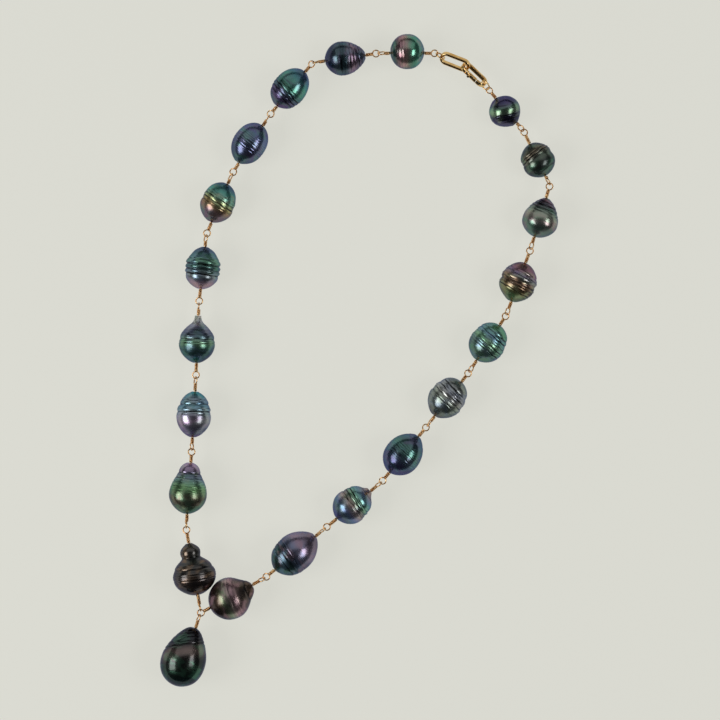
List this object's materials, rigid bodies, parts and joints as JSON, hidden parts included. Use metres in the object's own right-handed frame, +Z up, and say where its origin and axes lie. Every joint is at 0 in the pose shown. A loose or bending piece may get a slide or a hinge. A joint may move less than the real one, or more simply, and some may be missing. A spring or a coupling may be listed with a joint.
{
  "type": "pearl necklace",
  "caption": "Necklace of dark circled baroque pearls on wrapped gold wire links, with a drop pearl at the front and an oblong two-link clasp.",
  "frame": {"origin": "middle of the footprint of the closed necklace, on the surface the pearls rest on", "axes": "+Y from the drop pearl towards the clasp, along the longest extent; +Z up, away from the table; +X to the wearer's left when worn"},
  "size_m": [0.1256, 0.206, 0.0142],
  "materials": {
    "nacre_left_01": "polished nacre of a dark cultured pearl",
    "nacre_left_02": "polished nacre of a dark cultured pearl",
    "nacre_left_03": "polished nacre of a dark cultured pearl",
    "nacre_left_04": "polished nacre of a dark cultured pearl",
    "nacre_left_05": "polished nacre of a dark cultured pearl",
    "nacre_left_06": "polished nacre of a dark cultured pearl",
    "nacre_left_07": "polished nacre of a dark cultured pearl",
    "nacre_left_08": "polished nacre of a dark cultured pearl",
    "nacre_left_09": "polished nacre of a dark cultured pearl",
    "nacre_left_10": "polished nacre of a dark cultured pearl",
    "nacre_right_01": "polished nacre of a dark cultured pearl",
    "nacre_right_02": "polished nacre of a dark cultured pearl",
    "nacre_right_03": "polished nacre of a dark cultured pearl",
    "nacre_right_04": "polished nacre of a dark cultured pearl",
    "nacre_right_05": "polished nacre of a dark cultured pearl",
    "nacre_right_06": "polished nacre of a dark cultured pearl",
    "nacre_right_07": "polished nacre of a dark cultured pearl",
    "nacre_right_08": "polished nacre of a dark cultured pearl",
    "nacre_right_09": "polished nacre of a dark cultured pearl",
    "nacre_right_10": "polished nacre of a dark cultured pearl",
    "nacre_drop": "polished nacre of a dark cultured pearl",
    "gold_wire": "drawn and polished yellow gold wire",
    "gold_clasp": "polished yellow gold",
    "spring_steel": "fine drawn spring wire"
  },
  "bodies": {
    "left_link_01": {"left_pearl_01": "nacre_left_01", "left_wire_01": "gold_wire"},
    "left_link_02": {"left_pearl_02": "nacre_left_02", "left_wire_02": "gold_wire"},
    "left_link_03": {"left_pearl_03": "nacre_left_03", "left_wire_03": "gold_wire"},
    "left_link_04": {"left_pearl_04": "nacre_left_04", "left_wire_04": "gold_wire"},
    "left_link_05": {"left_pearl_05": "nacre_left_05", "left_wire_05": "gold_wire"},
    "left_link_06": {"left_pearl_06": "nacre_left_06", "left_wire_06": "gold_wire"},
    "left_link_07": {"left_pearl_07": "nacre_left_07", "left_wire_07": "gold_wire"},
    "left_link_08": {"left_pearl_08": "nacre_left_08", "left_wire_08": "gold_wire"},
    "left_link_09": {"left_pearl_09": "nacre_left_09", "left_wire_09": "gold_wire"},
    "left_link_10": {"left_pearl_10": "nacre_left_10", "left_wire_10": "gold_wire"},
    "right_link_01": {"right_pearl_01": "nacre_right_01", "right_wire_01": "gold_wire"},
    "right_link_02": {"right_pearl_02": "nacre_right_02", "right_wire_02": "gold_wire"},
    "right_link_03": {"right_pearl_03": "nacre_right_03", "right_wire_03": "gold_wire"},
    "right_link_04": {"right_pearl_04": "nacre_right_04", "right_wire_04": "gold_wire"},
    "right_link_05": {"right_pearl_05": "nacre_right_05", "right_wire_05": "gold_wire"},
    "right_link_06": {"right_pearl_06": "nacre_right_06", "right_wire_06": "gold_wire"},
    "right_link_07": {"right_pearl_07": "nacre_right_07", "right_wire_07": "gold_wire"},
    "right_link_08": {"right_pearl_08": "nacre_right_08", "right_wire_08": "gold_wire"},
    "right_link_09": {"right_pearl_09": "nacre_right_09", "right_wire_09": "gold_wire"},
    "right_link_10": {"right_pearl_10": "nacre_right_10", "right_wire_10": "gold_wire"},
    "drop_link": {"drop_pearl": "nacre_drop", "drop_wire": "gold_wire"},
    "jump_ring_receiver": {"jump_ring_receiver": "gold_wire"},
    "jump_ring_gate": {"jump_ring_gate": "gold_wire"},
    "receiver_link": {"clasp_receiver_link": "gold_clasp"},
    "gate_link": {"clasp_gate_link": "gold_clasp", "gate_pin": "gold_clasp", "gate_spring": "spring_steel"},
    "gate": {"clasp_gate": "gold_clasp"}
  },
  "joints": [
    {"name": "left_link_10_swing", "type": "hinge", "parent": "right_link_10", "child": "left_link_10", "pos_m": [-0.0501, -0.07925, 0.0067], "axis": [0, 0, 1], "range_deg": [-1.4, 8]},
    {"name": "left_link_01_swing", "type": "hinge", "parent": "left_link_02", "child": "left_link_01", "pos_m": [0.0058, 0.097, 0.0054], "axis": [0, 0, 1], "range_deg": [-0.57, 3.03]},
    {"name": "left_link_02_swing", "type": "hinge", "parent": "left_link_03", "child": "left_link_02", "pos_m": [-0.0148, 0.094, 0.0053], "axis": [0, 0, 1], "range_deg": [-15.02, 15.02]},
    {"name": "left_link_03_swing", "type": "hinge", "parent": "left_link_04", "child": "left_link_03", "pos_m": [-0.0284, 0.0774, 0.0053], "axis": [0, 0, 1], "range_deg": [-14.94, 14.94]},
    {"name": "left_link_04_swing", "type": "hinge", "parent": "left_link_05", "child": "left_link_04", "pos_m": [-0.0402, 0.059, 0.0053], "axis": [0, 0, 1], "range_deg": [-15.05, 15.05]},
    {"name": "left_link_05_swing", "type": "hinge", "parent": "left_link_06", "child": "left_link_05", "pos_m": [-0.0484, 0.0396, 0.0054], "axis": [0, 0, 1], "range_deg": [-14.84, 14.84]},
    {"name": "left_link_06_swing", "type": "hinge", "parent": "left_link_07", "child": "left_link_06", "pos_m": [-0.0507, 0.0181, 0.0056], "axis": [0, 0, 1], "range_deg": [-5.13, 0.94]},
    {"name": "left_link_07_swing", "type": "hinge", "parent": "left_link_08", "child": "left_link_07", "pos_m": [-0.0517, -0.0053, 0.0056], "axis": [0, 0, 1], "range_deg": [-10.05, 10.05]},
    {"name": "left_link_08_swing", "type": "hinge", "parent": "left_link_09", "child": "left_link_08", "pos_m": [-0.053, -0.0285, 0.0057], "axis": [0, 0, 1], "range_deg": [-8.15, 8.15]},
    {"name": "left_link_09_swing", "type": "hinge", "parent": "left_link_10", "child": "left_link_09", "pos_m": [-0.0547, -0.0531, 0.0064], "axis": [0, 0, 1], "range_deg": [-0.4, 2.05]},
    {"name": "receiver_jump_ring_swing", "type": "hinge", "parent": "left_link_01", "child": "jump_ring_receiver", "pos_m": [0.0243, 0.097, 0.0055], "axis": [0, 0, 1], "range_deg": [-14.07, 14.07]},
    {"name": "receiver_link_swing", "type": "hinge", "parent": "jump_ring_receiver", "child": "receiver_link", "pos_m": [0.026, 0.096, 0.0053], "axis": [0, 0, 1], "range_deg": [-16.05, 16.05]},
    {"name": "right_link_01_swing", "type": "hinge", "parent": "right_link_02", "child": "right_link_01", "pos_m": [0.0519, 0.0725, 0.0051], "axis": [0, 0, 1], "range_deg": [-9.67, 9.67]},
    {"name": "right_link_02_swing", "type": "hinge", "parent": "right_link_03", "child": "right_link_02", "pos_m": [0.0603, 0.0554, 0.0054], "axis": [0, 0, 1], "range_deg": [-7.61, 7.61]},
    {"name": "right_link_03_swing", "type": "hinge", "parent": "right_link_04", "child": "right_link_03", "pos_m": [0.0541, 0.035, 0.0058], "axis": [0, 0, 1], "range_deg": [-14.3, 14.3]},
    {"name": "right_link_04_swing", "type": "hinge", "parent": "right_link_05", "child": "right_link_04", "pos_m": [0.0465, 0.0143, 0.0058], "axis": [0, 0, 1], "range_deg": [-14.14, 14.14]},
    {"name": "right_link_05_swing", "type": "hinge", "parent": "right_link_06", "child": "right_link_05", "pos_m": [0.0347, -0.0038, 0.0057], "axis": [0, 0, 1], "range_deg": [-15.05, 15.05]},
    {"name": "right_link_06_swing", "type": "hinge", "parent": "right_link_07", "child": "right_link_06", "pos_m": [0.0214, -0.0209, 0.0058], "axis": [0, 0, 1], "range_deg": [-14.92, 14.92]},
    {"name": "right_link_07_swing", "type": "hinge", "parent": "right_link_08", "child": "right_link_07", "pos_m": [0.007, -0.0386, 0.0057], "axis": [0, 0, 1], "range_deg": [-7.55, 7.55]},
    {"name": "right_link_08_swing", "type": "hinge", "parent": "right_link_09", "child": "right_link_08", "pos_m": [-0.0107, -0.0531, 0.0058], "axis": [0, 0, 1], "range_deg": [-7.35, 7.35]},
    {"name": "right_link_09_swing", "type": "hinge", "parent": "right_link_10", "child": "right_link_09", "pos_m": [-0.0298, -0.0688, 0.0064], "axis": [0, 0, 1], "range_deg": [-1.43, 7.95]},
    {"name": "gate_jump_ring_swing", "type": "hinge", "parent": "right_link_01", "child": "jump_ring_gate", "pos_m": [0.0408, 0.0857, 0.0051], "axis": [0, 0, 1], "range_deg": [-1.99, 1.99]},
    {"name": "gate_link_swing", "type": "hinge", "parent": "jump_ring_gate", "child": "gate_link", "pos_m": [0.0396, 0.0872, 0.0053], "axis": [0, 0, 1], "range_deg": [-3.92, 3.92]},
    {"name": "drop_swing", "type": "hinge", "parent": "right_link_10", "child": "drop_link", "pos_m": [-0.0503, -0.0803, 0.0067], "axis": [0, 0, 1], "range_deg": [-35, 35]},
    {"name": "gate_swing", "type": "hinge", "parent": "gate_link", "child": "gate", "pos_m": [0.03402, 0.09079, 0.00642], "axis": [0.4778, 0.5214, 0.707], "range_deg": [0, 20], "stiffness_Nm_per_rad": 0.0001}
  ],
  "couplings": [
    {"joint": "receiver_link_swing", "follows": "receiver_jump_ring_swing", "ratio": -1.1372},
    {"joint": "gate_jump_ring_swing", "follows": "receiver_jump_ring_swing", "ratio": 0.13821},
    {"joint": "gate_link_swing", "follows": "receiver_jump_ring_swing", "ratio": -0.27541},
    {"joint": "left_link_02_swing", "follows": "right_link_06_swing", "ratio": -1.0033},
    {"joint": "left_link_03_swing", "follows": "right_link_06_swing", "ratio": 0.99787},
    {"joint": "right_link_05_swing", "follows": "right_link_06_swing", "ratio": -1.0055},
    {"joint": "left_link_04_swing", "follows": "left_link_05_swing", "ratio": -1.0105},
    {"joint": "right_link_04_swing", "follows": "left_link_05_swing", "ratio": 0.94931},
    {"joint": "right_link_03_swing", "follows": "left_link_05_swing", "ratio": -0.95976},
    {"joint": "left_link_09_swing", "follows": "left_link_10_swing", "ratio": 0.25003},
    {"joint": "left_link_06_swing", "follows": "left_link_10_swing", "ratio": -0.63512},
    {"joint": "left_link_01_swing", "follows": "left_link_10_swing", "ratio": 0.37224},
    {"joint": "right_link_09_swing", "follows": "left_link_10_swing", "ratio": 0.98714},
    {"joint": "left_link_08_swing", "follows": "right_link_08_swing", "ratio": -1.1022},
    {"joint": "left_link_07_swing", "follows": "right_link_08_swing", "ratio": 1.3613},
    {"joint": "right_link_07_swing", "follows": "right_link_08_swing", "ratio": -1.0208},
    {"joint": "right_link_02_swing", "follows": "right_link_08_swing", "ratio": -1.0293},
    {"joint": "right_link_01_swing", "follows": "right_link_08_swing", "ratio": 1.3092}
  ]
}
